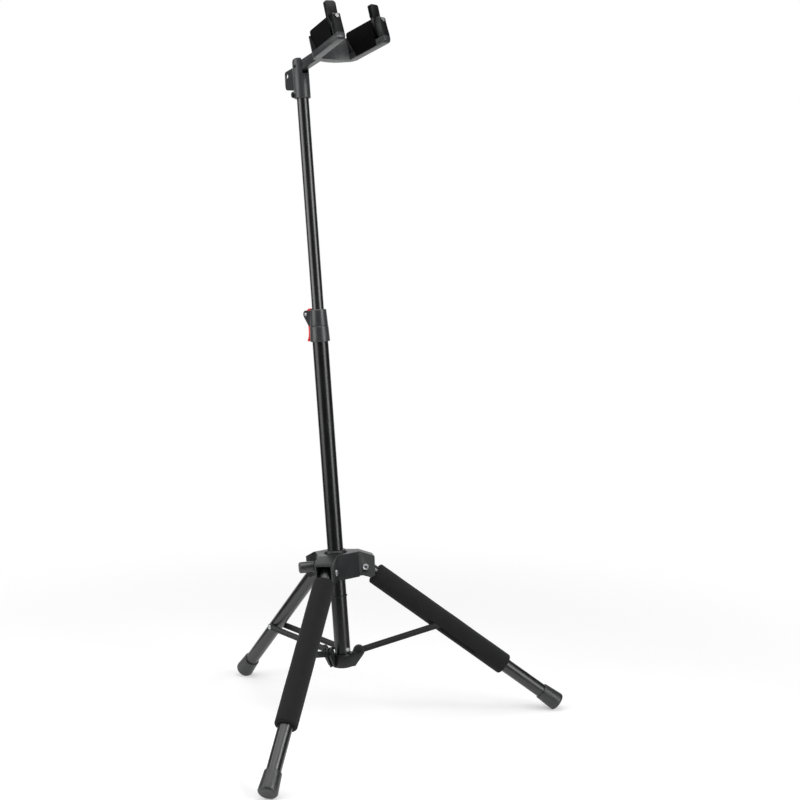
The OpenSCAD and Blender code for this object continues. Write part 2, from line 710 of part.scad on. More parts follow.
module hub_bush() {
  color("#26272a") column_frame() translate([0, 0, hub_pivot_h]) rotate_extrude() polygon([
    [column_r + fit_gap, hub_low - 1], [bush_r + 1.6, hub_low - 1], [bush_r + 1.6, hub_low + 1],
    [bush_r, hub_low + 1], [bush_r, hub_top], [bush_r + 2.4, hub_top], [bush_r + 2.4, hub_top + 1],
    [bush_r + 0.2, hub_top + 4], [column_r + 1.4, hub_top + 4.6], [column_r + fit_gap, hub_top + 3.6]]);
}

module hub_rivets() {
  color("#b9bbbd") for (az = [az_left, az_right, az_rear]) hub_frame(az) translate([hub_pivot_r, 0, 0]) {
    pin_y(pivot_d / 2, 2 * hub_out);
    for (s = [0, 180]) rotate([0, 0, s]) translate([0, hub_out, 0]) rotate([-90, 0, 0])
      rotate_extrude($fn = 32)
        polygon([[0, 0], [5, 0], [4.9, 1.2], [3.8, 2], [2.6, 2], [2.2, 0.8], [0, 0.8]]);
  }
}

module lock_knob() {
  color("#141516") lock_frame() translate([0, 0, knob_near]) difference() {
      rotate_extrude() polygon(concat(
        [[lock_d / 2, 0], [knob_d / 2 - 2, 0], [knob_d / 2, 4]],
        arc(knob_d / 2 - 3, knob_len - 3, 3, 0, 90, 4),
        [[0, knob_len], [0, knob_len - 6], [lock_d / 2, knob_len - 6]]));
      for (i = [0:knob_grooves - 1]) rotate([0, 0, i * 360 / knob_grooves + 30])
        translate([knob_d / 2 + 0.6, 0, 5]) cylinder(r = 2, h = 40, $fn = 20);
    }
}

module lock_screw() {
  color("#b9bbbd") lock_frame() translate([0, 0, bush_r + 0.1])
    cylinder(r = lock_d / 2 - fit_gap, h = knob_near + knob_len - 6 - bush_r - 0.1, $fn = 32);
}

module leg_tube(az) {
  color("#17181a") leg_frame(az) difference() {
    translate([0, 0, -leg_over]) cylinder(r = leg_r, h = leg_over + leg_len(az) - foot_floor);
    translate([0, 0, -leg_over - 1]) cylinder(r = leg_in_r, h = leg_over + leg_len(az) + 2);
    pin_y(pivot_d / 2 + fit_gap, 60);
  }
}

module leg_tube_left() {
  leg_tube(az_left);
}

module leg_tube_right() {
  leg_tube(az_right);
}

module leg_tube_rear() {
  leg_tube(az_rear);
}

module leg_plug(az) {
  color("#26272a") leg_frame(az) difference() {
    union() {
      translate([0, 0, -leg_over]) cylinder(r = leg_in_r, h = leg_over + 12);
      translate([0, 0, -leg_over - 1.5]) cylinder(r1 = leg_r - 1.2, r2 = leg_r, h = 1.5);
    }
    pin_y(pivot_d / 2 + fit_gap, 60);
  }
}

module leg_plug_left() {
  leg_plug(az_left);
}

module leg_plug_right() {
  leg_plug(az_right);
}

module leg_plug_rear() {
  leg_plug(az_rear);
}

module foot(az) {
  color("#2b2c2e") difference() {
    leg_frame(az) translate([0, 0, leg_len(az) - foot_len]) rotate_extrude() polygon(concat(
      [[leg_r, 0], [foot_mouth_d / 2 - 0.6, 0], [foot_mouth_d / 2, 0.8], [foot_r - 0.6, foot_len - 9]],
      arc(foot_r - 3, foot_len - 3, 3, 0, 90, 5),
      [[0, foot_len], [0, foot_len - foot_floor], [leg_r, foot_len - foot_floor]]));
    translate([-600, -600, -100]) cube([1200, 1200, 100]);
  }
}

module foot_left() {
  foot(az_left);
}

module foot_right() {
  foot(az_right);
}

module foot_rear() {
  foot(az_rear);
}

// Side profile of the slit that lets a brace bar into the foam: towards the underside and down the leg
function slit_points() = [
  [-foam_r - 3, front_pivot_d - 35], [-foam_r - 3, front_pivot_d + 1], [-7, front_pivot_d + 8],
  [14, front_pivot_d + 80], [40, front_pivot_d + 180], [40, front_pivot_d - 59],
  [foam_r, front_pivot_d - 33]];

module foam(az) {
  color("#101112") leg_frame(az) difference() {
    translate([0, 0, foam_start]) rotate_extrude() polygon(concat(
      [[leg_r, 0]], arc(foam_r - foam_round, foam_round, foam_round, -90, 0, 4),
      arc(foam_r - foam_round, foam_end - foam_start - foam_round, foam_round, 0, 90, 4),
      [[leg_r, foam_end - foam_start]]));
    for (s = bar_sides(az)) translate([0, s * bar_mid + bar_t / 2 + 0.4, 0]) rotate([90, 0, 0])
      linear_extrude(bar_t + 0.8) polygon(slit_points());
  }
}

module foam_left() {
  foam(az_left);
}

module foam_right() {
  foam(az_right);
}

// Pair of flat bars, one on each side of the leg
module brace(az) {
  color("#1a1b1d") brace_frame(az) for (s = bar_sides(az)) translate([0, s * bar_mid, 0]) difference() {
    union() {
      pin_y(bar_w / 2, bar_t);
      translate([0, 0, brace_len(az)]) pin_y(bar_w / 2, bar_t);
      translate([-bar_w / 2, -bar_t / 2, 0]) cube([bar_w, bar_t, brace_len(az)]);
    }
    pin_y(collar_pin_d / 2 + fit_gap, 20);
    translate([0, 0, brace_len(az)]) pin_y(2.4, 20);
  }
}

module brace_left() {
  brace(az_left);
}

module brace_right() {
  brace(az_right);
}

module brace_rear() {
  brace(az_rear);
}

// Rivets at the leg end of a brace: flush under the foam, domed on the bare rear leg
module brace_rivets(az, domed) {
  color("#b9bbbd") brace_frame(az) translate([0, 0, brace_len(az)]) for (s = bar_sides(az))
    rotate([0, 0, s > 0 ? 0 : 180]) {
      translate([0, bar_mid, 0]) pin_y(2.4, bar_t);
      if (domed) translate([0, bar_out, 0]) rotate([-90, 0, 0]) rotate_extrude($fn = 32)
        polygon([[0, 0], [4.2, 0], [4, 0.8], [2.6, 1.5], [0, 1.7]]);
    }
}

module brace_rivets_left() {
  brace_rivets(az_left, false);
}

module brace_rivets_right() {
  brace_rivets(az_right, false);
}

module brace_rivets_rear() {
  brace_rivets(az_rear, true);
}

echo(leg_front = leg_len(az_right), leg_rear = leg_len(az_rear), column_foot_y = column_foot_y);

column_tube();
column_end_plug();
column_rivet();
stop_ring();
brace_collar();
collar_pins();
clutch_body();
clutch_pin();
guide_bush();
clutch_trigger();
mast_tube();
slide_bush();
head_housing();
head_screw();
fork_pin();
neck_fork();
fork_pad_left();
fork_pad_right();
gate_pins();
gate_left();
gate_right();
gate_pad_left();
gate_pad_right();
hub_body();
hub_bush();
hub_rivets();
lock_knob();
lock_screw();
leg_tube_left();
leg_tube_right();
leg_tube_rear();
leg_plug_left();
leg_plug_right();
leg_plug_rear();
foot_left();
foot_right();
foot_rear();
foam_left();
foam_right();
brace_left();
brace_right();
brace_rear();
brace_rivets_left();
brace_rivets_right();
brace_rivets_rear();
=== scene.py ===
import bmesh
import bpy
import json
import math
from mathutils import Matrix, Vector


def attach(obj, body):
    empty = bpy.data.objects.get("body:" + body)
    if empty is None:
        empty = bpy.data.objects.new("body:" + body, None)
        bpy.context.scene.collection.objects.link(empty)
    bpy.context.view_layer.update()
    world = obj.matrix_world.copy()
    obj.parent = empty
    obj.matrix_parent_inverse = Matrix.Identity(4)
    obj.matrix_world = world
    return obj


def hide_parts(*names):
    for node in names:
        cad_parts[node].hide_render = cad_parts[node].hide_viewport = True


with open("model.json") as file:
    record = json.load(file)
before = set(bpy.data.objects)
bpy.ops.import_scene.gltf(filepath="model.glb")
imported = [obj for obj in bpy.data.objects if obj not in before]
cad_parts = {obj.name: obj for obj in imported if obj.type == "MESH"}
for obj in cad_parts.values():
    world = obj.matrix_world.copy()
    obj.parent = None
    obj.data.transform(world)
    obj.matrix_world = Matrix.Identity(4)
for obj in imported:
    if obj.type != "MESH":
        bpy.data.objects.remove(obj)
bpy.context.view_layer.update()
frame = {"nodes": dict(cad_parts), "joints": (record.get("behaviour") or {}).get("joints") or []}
nodes = frame["nodes"]
joints = {joint["name"]: joint for joint in frame["joints"]}
mm = 0.001


# colours are written as sRGB hex and handed to the shaders as linear light
def linear(hexColour):
    parts = [int(hexColour[i:i + 2], 16) / 255 for i in (1, 3, 5)]
    return tuple(p / 12.92 if p <= 0.04045 else ((p + 0.055) / 1.055) ** 2.4 for p in parts) + (1.0,)


def addNode(tree, kind, settings=None, values=None, links=None):
    made = tree.nodes.new(kind)
    for key, value in (settings or {}).items():
        setattr(made, key, value)
    for key, value in (values or {}).items():
        made.inputs[key].default_value = value
    for key, source in (links or {}).items():
        tree.links.new(source, made.inputs[key])
    return made


# materials share one layout: a fine surface texture as bump, and a broad drift of colour and roughness
driftNoise = {"Detail": 4.0, "Roughness": 0.6}
driftSpan = (0.3, 0.7)  # stretch of the noise over which colour and roughness change
grainDetail = 2.0


def makeFinish(name, look):
    material = bpy.data.materials.new(name)
    material.use_nodes = True
    tree = material.node_tree
    shader = tree.nodes["Principled BSDF"]
    coords = addNode(tree, "ShaderNodeTexCoord").outputs["Object"]
    drift = addNode(tree, "ShaderNodeTexNoise", values={"Scale": 1 / (look["driftMm"] * mm), **driftNoise},
                    links={"Vector": coords}).outputs["Fac"]
    colours = addNode(tree, "ShaderNodeValToRGB", links={"Fac": drift})
    for stop, place, shade in zip(colours.color_ramp.elements, driftSpan, ("dark", "light")):
        stop.position = place
        stop.color = linear(look[shade])
    tree.links.new(colours.outputs["Color"], shader.inputs["Base Color"])
    spread = addNode(tree, "ShaderNodeMapRange", values={"From Min": driftSpan[0], "From Max": driftSpan[1],
                     "To Min": look["roughness"][0], "To Max": look["roughness"][1]},
                     links={"Value": drift})
    tree.links.new(spread.outputs["Result"], shader.inputs["Roughness"])
    grainScale = 1 / (look["grainMm"] * mm)
    if look["grain"] == "cells":
        grain = addNode(tree, "ShaderNodeTexVoronoi", values={"Scale": grainScale},
                        links={"Vector": coords}).outputs["Distance"]
    else:
        grain = addNode(tree, "ShaderNodeTexNoise", values={"Scale": grainScale, "Detail": grainDetail},
                        links={"Vector": coords}).outputs["Fac"]
    bump = addNode(tree, "ShaderNodeBump", values={"Strength": look["grainStrength"],
                   "Distance": look["grainDepthMm"] * mm}, links={"Height": grain})
    tree.links.new(bump.outputs["Normal"], shader.inputs["Normal"])
    for socket, value in look.get("shader", {}).items():
        shader.inputs[socket].default_value = value
    return material


# a grain that is finer than about half a millimetre in life is drawn coarser below, so that it shows

# polyester powder coat, sprayed and baked on steel: deep black with soft streaks and a slight orange peel
powderCoat = makeFinish("powderCoatedSteel", {
    "dark": "#0b0c0d", "light": "#111213", "driftMm": 40, "roughness": (0.27, 0.35),
    "grain": "noise", "grainMm": 3.5, "grainStrength": 0.06, "grainDepthMm": 0.03,
    "shader": {"IOR": 1.5, "Specular IOR Level": 0.75}})
# stoved enamel on the sliding tube: the same black under a clear coat, with brighter bands of light
stovedEnamel = makeFinish("stovedEnamelSteel", {
    "dark": "#0a0b0c", "light": "#101112", "driftMm": 50, "roughness": (0.29, 0.35),
    "grain": "noise", "grainMm": 4.0, "grainStrength": 0.03, "grainDepthMm": 0.03,
    "shader": {"IOR": 1.5, "Specular IOR Level": 1.0, "Coat Weight": 0.6, "Coat Roughness": 0.3}})
# fine-textured powder coat on pressed pieces: dull black that breaks reflections up
texturedCoat = makeFinish("texturedPowderCoat", {
    "dark": "#161718", "light": "#1d1e1f", "driftMm": 15, "roughness": (0.42, 0.52),
    "grain": "noise", "grainMm": 1.4, "grainStrength": 0.2, "grainDepthMm": 0.04,
    "shader": {"IOR": 1.5, "Specular IOR Level": 0.45}})
# glass-filled nylon, moulded in a spark-eroded tool: dark grey, satin, faintly pebbled
mouldedNylon = makeFinish("mouldedNylon", {
    "dark": "#2b2c2e", "light": "#333436", "driftMm": 14, "roughness": (0.34, 0.43),
    "grain": "noise", "grainMm": 0.9, "grainStrength": 0.3, "grainDepthMm": 0.05,
    "shader": {"IOR": 1.53, "Specular IOR Level": 0.8}})
# the same nylon from a polished tool: near black, with clear reflections on its flats; on the fork's prongs
# this black is partly painted shade
polishedNylon = makeFinish("polishedNylon", {
    "dark": "#0e0f0f", "light": "#141515", "driftMm": 18, "roughness": (0.29, 0.38),
    "grain": "noise", "grainMm": 2.0, "grainStrength": 0.15, "grainDepthMm": 0.03,
    "shader": {"IOR": 1.53, "Specular IOR Level": 0.38}})
# the same nylon with a satin face: black like the polished one, with softer flats
satinNylon = makeFinish("satinNylon", {
    "dark": "#1f2021", "light": "#262728", "driftMm": 18, "roughness": (0.32, 0.4),
    "grain": "noise", "grainMm": 1.6, "grainStrength": 0.2, "grainDepthMm": 0.03,
    "shader": {"IOR": 1.53, "Specular IOR Level": 0.32}})
# compression-moulded rubber: grey-black with a dull sheen
mouldedRubber = makeFinish("mouldedRubber", {
    "dark": "#1e1f20", "light": "#262728", "driftMm": 9, "roughness": (0.36, 0.46),
    "grain": "noise", "grainMm": 0.7, "grainStrength": 0.3, "grainDepthMm": 0.05,
    "shader": {"IOR": 1.52, "Specular IOR Level": 0.6}})
# soft pad rubber: blacker and duller than the feet
padRubber = makeFinish("softPadRubber", {
    "dark": "#060607", "light": "#0a0a0b", "driftMm": 12, "roughness": (0.62, 0.78),
    "grain": "noise", "grainMm": 0.8, "grainStrength": 0.4, "grainDepthMm": 0.05,
    "shader": {"IOR": 1.52, "Specular IOR Level": 0.1}})
# closed-cell rubber foam, extruded and cut: deep matt black, cells drawn at 1.1 mm so that they show
cellFoam = makeFinish("closedCellFoam", {
    "dark": "#19191a", "light": "#1f1f20", "driftMm": 25, "roughness": (0.88, 0.98),
    "grain": "cells", "grainMm": 1.1, "grainStrength": 0.6, "grainDepthMm": 0.12,
    "shader": {"IOR": 1.45, "Specular IOR Level": 0.2, "Sheen Weight": 0.05, "Sheen Roughness": 0.6}})
# ABS, moulded and polished: clean signal red with a soft gloss
redAbs = makeFinish("redMouldedAbs", {
    "dark": "#e01d22", "light": "#ec272c", "driftMm": 10, "roughness": (0.28, 0.38),
    "grain": "noise", "grainMm": 1.0, "grainStrength": 0.15, "grainDepthMm": 0.03,
    "shader": {"IOR": 1.54}})
# zinc-plated steel: bright cool grey with a cloudy plating
zincPlate = makeFinish("zincPlatedSteel", {
    "dark": "#b9bcbf", "light": "#d2d4d5", "driftMm": 3, "roughness": (0.42, 0.56),
    "grain": "noise", "grainMm": 0.6, "grainStrength": 0.15, "grainDepthMm": 0.02,
    "shader": {"Metallic": 1.0}})
# black-oxide steel: dark metal with an oily sheen
blackOxide = makeFinish("blackOxideSteel", {
    "dark": "#303133", "light": "#3e3f41", "driftMm": 4, "roughness": (0.42, 0.54),
    "grain": "noise", "grainMm": 0.6, "grainStrength": 0.15, "grainDepthMm": 0.02,
    "shader": {"Metallic": 1.0}})
# unfilled nylon, turned: milky and waxy
naturalNylon = makeFinish("naturalNylon", {
    "dark": "#cfccc2", "light": "#dedbd2", "driftMm": 8, "roughness": (0.4, 0.5),
    "grain": "noise", "grainMm": 0.9, "grainStrength": 0.2, "grainDepthMm": 0.03,
    "shader": {"IOR": 1.53}})


# frames of the pieces, all taken from the joints
hubPivotRadius = 45 * mm
legAngle = math.radians(49.8)
columnAxis = Vector(joints["hub_slide"]["axis"]).normalized()
prongSigns = {"left": -1, "right": 1}  # which way +X is outwards


def placed(origin, xAxis, yAxis, zAxis):
    matrix = Matrix((xAxis, yAxis, zAxis)).transposed().to_4x4()
    matrix.translation = Vector(origin)
    return matrix


# +Z down the leg from its pivot, +X to its underside
def legMatrix(side):
    across = Vector(joints["leg_fold_" + side]["axis"])
    outward = across.cross(columnAxis)
    down = outward * math.sin(legAngle) - columnAxis * math.cos(legAngle)
    under = -outward * math.cos(legAngle) - columnAxis * math.sin(legAngle)
    return placed(joints["leg_fold_" + side]["pos_m"], under, across, down)


# +Z up the column from the floor, +Y to the rear
def columnMatrix():
    rear = joints["leg_fold_rear"]
    hubCentre = Vector(rear["pos_m"]) - Vector(rear["axis"]).cross(columnAxis) * hubPivotRadius
    footPoint = hubCentre - columnAxis * (hubCentre.z / columnAxis.z)
    return placed(footPoint, Vector((1, 0, 0)), columnAxis.cross(Vector((1, 0, 0))), columnAxis)


# +X outwards across a prong, -Y along it to the front, +Z up, origin on the gate's axis
def prongMatrix(side):
    heading = {s: Vector(joints["gate_" + s + "_swing"]["axis"]) * sign for s, sign in prongSigns.items()}
    up = heading["right"].cross(heading["left"]).normalized()
    up = up if up.z > 0 else -up
    forward = heading[side]
    outward = forward.cross(up)
    outward = outward if outward.x * prongSigns[side] > 0 else -outward
    return placed(joints["gate_" + side + "_swing"]["pos_m"], outward, -forward, up)


# a finished mesh as an object on its body, in place of a node of the frame
def makePiece(name, mesh, material, body, node, sharpDegrees=35):
    mesh.materials.clear()
    mesh.materials.append(material)
    mesh.polygons.foreach_set("use_smooth", [True] * len(mesh.polygons))
    mesh.set_sharp_from_angle(angle=math.radians(sharpDegrees))
    piece = bpy.data.objects.new(name, mesh)
    bpy.context.scene.collection.objects.link(piece)
    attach(piece, body)
    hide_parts(node)
    return piece


def meshFrom(bm, name, matrix):
    bmesh.ops.recalc_face_normals(bm, faces=bm.faces)
    bm.transform(matrix)
    if matrix.determinant() < 0:
        bmesh.ops.reverse_faces(bm, faces=bm.faces)
    mesh = bpy.data.meshes.new(name)
    bm.to_mesh(mesh)
    bm.free()
    return mesh


# closed profile of radius and height, turned round Z
def revolved(profile, segments, shape=None):
    bm = bmesh.new()
    rings = []
    for radius, height in profile:
        count = 1 if radius < 1e-9 else segments
        ring = []
        for i in range(count):
            turn = 2 * math.pi * i / segments
            r = radius * (shape(turn, height) if shape and radius > 0 else 1)
            ring.append(bm.verts.new((r * math.cos(turn), r * math.sin(turn), height)))
        rings.append(ring)
    pairs = list(zip(rings, rings[1:]))
    if len(rings[0]) > 1 and len(rings[-1]) > 1:
        pairs.append((rings[-1], rings[0]))
    for a, b in pairs:
        for i in range(segments):
            j = (i + 1) % segments
            loop = [a[i % len(a)], a[j % len(a)], b[j % len(b)], b[i % len(b)]]
            corners = list(dict.fromkeys(loop))
            if len(corners) > 2:
                bm.faces.new(corners)
    return bm


def roundArc(centreR, centreZ, radius, fromDegrees, toDegrees, steps=6):
    turns = [math.radians(fromDegrees + (toDegrees - fromDegrees) * i / steps) for i in range(steps + 1)]
    return [(centreR + radius * math.cos(turn), centreZ + radius * math.sin(turn)) for turn in turns]


# closed block between two outlines of as many corners
def block(first, second):
    bm = bmesh.new()
    for corner in first + second:
        bm.verts.new(corner)
    bm.verts.ensure_lookup_table()
    count = len(first)
    bm.faces.new([bm.verts[i] for i in range(count)])
    bm.faces.new([bm.verts[count + i] for i in reversed(range(count))])
    for i in range(count):
        j = (i + 1) % count
        bm.faces.new([bm.verts[i], bm.verts[count + i], bm.verts[count + j], bm.verts[j]])
    return bm


# plain mesh of an object with its modifiers applied; the object itself goes
def settled(work):
    graph = bpy.context.evaluated_depsgraph_get()
    mesh = bpy.data.meshes.new_from_object(work.evaluated_get(graph), depsgraph=graph)
    old = work.data
    bpy.data.objects.remove(work)
    bpy.data.meshes.remove(old)
    return mesh


def worker(mesh):
    work = bpy.data.objects.new("work", mesh)
    bpy.context.scene.collection.objects.link(work)
    return work


# a moulded or pressed CAD piece again, with the small radius that its tool leaves on the edges
softEdge = {"merge": 2e-6, "flatDegrees": 0.6, "edgeDegrees": 32, "segments": 2}


def softened(node, radiusMm):
    bm = bmesh.new()
    bm.from_mesh(nodes[node].data)
    bmesh.ops.remove_doubles(bm, verts=bm.verts, dist=softEdge["merge"])
    flat = math.radians(softEdge["flatDegrees"])
    bmesh.ops.dissolve_limit(bm, angle_limit=flat, verts=bm.verts, edges=bm.edges)
    mesh = bpy.data.meshes.new(node)
    bm.to_mesh(mesh)
    bm.free()
    work = worker(mesh)
    bevel = work.modifiers.new("edges", "BEVEL")
    bevel.width = radiusMm * mm
    bevel.segments = softEdge["segments"]
    bevel.limit_method = "ANGLE"
    bevel.angle_limit = math.radians(softEdge["edgeDegrees"])
    bevel.use_clamp_overlap = True
    return settled(work)


# camera at the photographed angle, for a square picture
camera = {"place": (-1.4743, -1.9155, 0.8659), "turn": (81.72, 0, -40.38), "lensMm": 68.82, "sensorMm": 36}
cameraData = bpy.data.cameras.new("camera")
cameraData.sensor_width = camera["sensorMm"]
cameraData.lens = camera["lensMm"]
cameraObject = bpy.data.objects.new("camera", cameraData)
cameraObject.location = camera["place"]
cameraObject.rotation_euler = [math.radians(angle) for angle in camera["turn"]]
bpy.context.scene.collection.objects.link(cameraObject)
bpy.context.scene.camera = cameraObject
bpy.context.scene.view_settings.view_transform = "Standard"
print("camera set")


# tubes, drawn again with smooth walls, because the frame's own are coarse
tubes = {"segments": 64, "lip": 0.25 * mm, "legRadius": 11.1 * mm, "legWall": 1.3 * mm, "legOver": 11 * mm}
# body, outer radius, wall and both ends along the column, in mm
columnTubes = {"column_tube": ("column", 12.7, 1.5, 86, 637), "mast_tube": ("mast", 9.525, 1.2, 500, 1028)}
# from a leg's pivot to the end of its foot
legLengths = {"left": 396.97 * mm, "right": 396.97 * mm, "rear": 320.43 * mm}
footFloor = 6 * mm  # rubber below the end of a leg tube


def tubeProfile(outer, wall, low, high):
    lip = tubes["lip"]
    return [(outer - lip, low), (outer, low + lip), (outer, high - lip), (outer - lip, high),
            (outer - wall, high), (outer - wall, low)]


def makeTubes():
    t = tubes
    jobs = [(node, body, columnMatrix(), [size * mm for size in sizes])
            for node, (body, *sizes) in columnTubes.items()]
    jobs += [("leg_tube_" + side, "leg_" + side, legMatrix(side),
              (t["legRadius"], t["legWall"], -t["legOver"], length - footFloor))
             for side, length in legLengths.items()]
    for node, body, matrix, sizes in jobs:
        mesh = meshFrom(revolved(tubeProfile(*sizes), t["segments"]), node, matrix)
        makePiece("smooth_" + node, mesh, stovedEnamel if node == "mast_tube" else powderCoat, body, node)


makeTubes()
print("tubes made")


# feet: rubber cups with a rolled mouth and a rounded end, flat where they stand
feet = {"mouth": 13.3 * mm, "roll": 0.9 * mm, "neck": 13.4 * mm, "neckEnd": 4 * mm, "skirt": 14.5 * mm,
        "skirtEnd": 23 * mm, "end": 15 * mm, "round": 4 * mm, "length": 35 * mm, "segments": 72}


def makeFeet():
    f = feet
    bore, inside = tubes["legRadius"], f["length"] - footFloor
    profile = [(bore, 0)] + roundArc(f["mouth"] - f["roll"], f["roll"], f["roll"], -90, 0, 4)
    profile += [(f["neck"], f["neckEnd"]), (f["skirt"], f["skirtEnd"])]
    profile += roundArc(f["end"] - f["round"], f["length"] - f["round"], f["round"], 0, 90, 8)
    profile += [(0, f["length"]), (0, inside), (bore, inside)]
    for side, legLength in legLengths.items():
        bm = revolved(profile, f["segments"])
        bmesh.ops.recalc_face_normals(bm, faces=bm.faces)
        bm.transform(legMatrix(side) @ Matrix.Translation((0, 0, legLength - f["length"])))
        # what the tilted cup would have below the floor is cut off flat
        cut = bmesh.ops.bisect_plane(bm, geom=bm.verts[:] + bm.edges[:] + bm.faces[:], plane_co=(0, 0, 0),
                                     plane_no=(0, 0, -1), clear_outer=True)
        rim = [e for e in cut["geom_cut"] if isinstance(e, bmesh.types.BMEdge)]
        bmesh.ops.edgeloop_fill(bm, edges=rim)
        makePiece("rubber_foot_" + side, meshFrom(bm, "foot", Matrix()), mouldedRubber, "leg_" + side,
                  "foot_" + side)


makeFeet()
print("feet made")


# foam sleeves, pulled over the front legs, cut square, with a slit on the underside for the brace bar
sleeve = {"radius": 17.5 * mm, "bore": 11.2 * mm, "start": 21.1 * mm, "end": 285 * mm, "round": 3 * mm,
          "mouthWide": 0.8 * mm, "mouthDeep": 0.4 * mm, "rings": 110, "segments": 72,
          "barMiddle": -12.8 * mm, "slitWidth": 3.4 * mm, "pivot": 160 * mm}
# shallow swells of the foam: share of the radius, waves along and round the sleeve, and how far they wind
swell = {"share": 0.006, "along": 17, "shift": 1.3, "round": 2, "wind": 5,
         "fineShare": 0.6, "fineRound": 3, "fineWind": 23}
# slit outline: towards the underside and down the leg from the brace pivot, in mm
slitOutline = [(-7.2, -7), (-7.2, 8), (14, 80), (40, 180), (40, -52), (-4.6, -10)]


def sleeveSwell(turn, height):
    w = swell
    along = (height - sleeve["start"]) / (sleeve["end"] - sleeve["start"])
    waves = math.sin(along * w["along"] + w["shift"]) * math.cos(turn * w["round"] + along * w["wind"])
    waves += w["fineShare"] * math.sin(turn * w["fineRound"] - along * w["fineWind"])
    return 1 + w["share"] * waves * math.sin(math.pi * min(max(along, 0), 1))


def slitTool():
    walls = [sleeve["barMiddle"] + share * sleeve["slitWidth"] for share in (-0.5, 0.5)]
    outlines = [[(x * mm, y, z * mm + sleeve["pivot"]) for x, z in slitOutline] for y in walls]
    return worker(meshFrom(block(*outlines), "slit", Matrix()))


def makeSleeves():
    s = sleeve
    straight = s["end"] - s["start"] - 2 * s["round"]
    profile = [(s["bore"], s["start"] + s["mouthDeep"]), (s["bore"] + s["mouthWide"], s["start"])]
    profile += roundArc(s["radius"] - s["round"], s["start"] + s["round"], s["round"], -90, 0, 7)
    profile += [(s["radius"], s["start"] + s["round"] + i / s["rings"] * straight)
                for i in range(1, s["rings"])]
    profile += roundArc(s["radius"] - s["round"], s["end"] - s["round"], s["round"], 0, 90, 7)
    profile += [(s["bore"] + s["mouthWide"], s["end"]), (s["bore"], s["end"] - s["mouthDeep"])]
    for side in ("left", "right"):
        work = worker(meshFrom(revolved(profile, s["segments"], sleeveSwell), "foam", Matrix()))
        tool = slitTool()
        cut = work.modifiers.new("slit", "BOOLEAN")
        cut.operation = "DIFFERENCE"
        cut.solver = "EXACT"
        cut.object = tool
        mesh = settled(work)
        bpy.data.objects.remove(tool)
        mesh.transform(legMatrix(side))
        piece = makePiece("foam_sleeve_" + side, mesh, cellFoam, "leg_" + side, "foam_" + side, 50)


makeSleeves()
print("foam sleeves made")


# fork pads: rubber boots over the prongs, with a lip down the inner side and a raised panel for the neck;
# sizes in mm across, along and up a prong, from the prong's own zero
pad = {"panelFace": -7.8, "panelRoot": -6.6, "panelEdge": 0.5, "panelHeel": 14.4, "lipFace": -7.15,
       "lipBack": -6.45, "lipLow": -20.9, "lipHeel": 16.4, "lipEdge": 0.3, "bootFace": -7.1, "outer": 5.6,
       "rear": 4, "front": 61, "top": 21, "heelTop": 13.5, "bootLow": -11.5, "bootHeel": 13,
       "bootEdge": 1.2, "frontRound": 3, "rearRound": 4, "frontBorder": 8, "lowBorder": 5,
       "topBorder": 1.6, "rearBorder": 2.4, "gateAlong": 64.4, "gateRise": 14.5}
# rubber face of a gate, in mm from the gate's axis
facing = {"halfWidth": 2.5, "low": 7, "high": 26.5, "face": -10.3, "back": -8.4, "edge": 0.7}
padEdge = {"segments": 3, "sharpDegrees": 50}


def roundedPrism(outline, low, high, edge):
    bm = block(*[[(x * mm, y * mm, z * mm) for y, z in outline] for x in (low, high)])
    bmesh.ops.recalc_face_normals(bm, faces=bm.faces)
    sharp = [e for e in bm.edges if e.calc_face_angle(0) > math.radians(padEdge["sharpDegrees"])]
    bmesh.ops.bevel(bm, geom=sharp, offset=edge * mm, segments=padEdge["segments"], profile=0.5,
                    affect="EDGES", clamp_overlap=True)
    return bm


def joined(parts):
    whole = parts[0]
    for part in parts[1:]:
        extra = bpy.data.meshes.new("extra")
        part.to_mesh(extra)
        part.free()
        whole.from_mesh(extra)
        bpy.data.meshes.remove(extra)
    return whole


# outline along and up a prong, with a slanted rear edge that follows the gusset
def padOutline(inset, low, heel, front):
    p = pad
    rear, top = p["rear"] + inset, p["top"] - min(inset, p["topBorder"])
    corner = roundArc(-front + p["frontRound"], top - p["frontRound"], p["frontRound"], 180, 90)
    shoulder = roundArc(-rear - p["rearRound"], top - p["rearRound"], p["rearRound"], 90, 0)
    return [(-front, low)] + corner + shoulder + [(-rear, p["heelTop"]), (-heel - inset, low)]


def makePads():
    p, g = pad, facing
    shift = Matrix.Translation((0, p["gateAlong"] * mm, -p["gateRise"] * mm))
    bootOutline = padOutline(0, p["bootLow"], p["bootHeel"], p["front"])
    lipOutline = padOutline(p["lipEdge"], p["lipLow"], p["lipHeel"], p["front"] - p["lipEdge"])
    panelOutline = padOutline(p["rearBorder"], p["lipLow"] + p["lowBorder"], p["panelHeel"],
                              p["front"] - p["frontBorder"])
    facingOutline = [(-g["halfWidth"], g["low"]), (-g["halfWidth"], g["high"]),
                     (g["halfWidth"], g["high"]), (g["halfWidth"], g["low"])]
    for side in ("left", "right"):
        boot = roundedPrism(bootOutline, p["bootFace"], p["outer"], p["bootEdge"])
        lip = roundedPrism(lipOutline, p["lipFace"], p["lipBack"], p["lipEdge"])
        panel = roundedPrism(panelOutline, p["panelFace"], p["panelRoot"], p["panelEdge"])
        mesh = meshFrom(joined([boot, lip, panel]), "pad", prongMatrix(side) @ shift)
        piece = makePiece("neck_pad_" + side, mesh, padRubber, "fork", "fork_pad_" + side)
        face = roundedPrism(facingOutline, g["face"], g["back"], g["edge"])
        mesh = meshFrom(face, "gateFacing", prongMatrix(side))
        piece = makePiece("gate_facing_" + side, mesh, padRubber, "gate_" + side, "gate_pad_" + side)


makePads()
print("fork pads made")


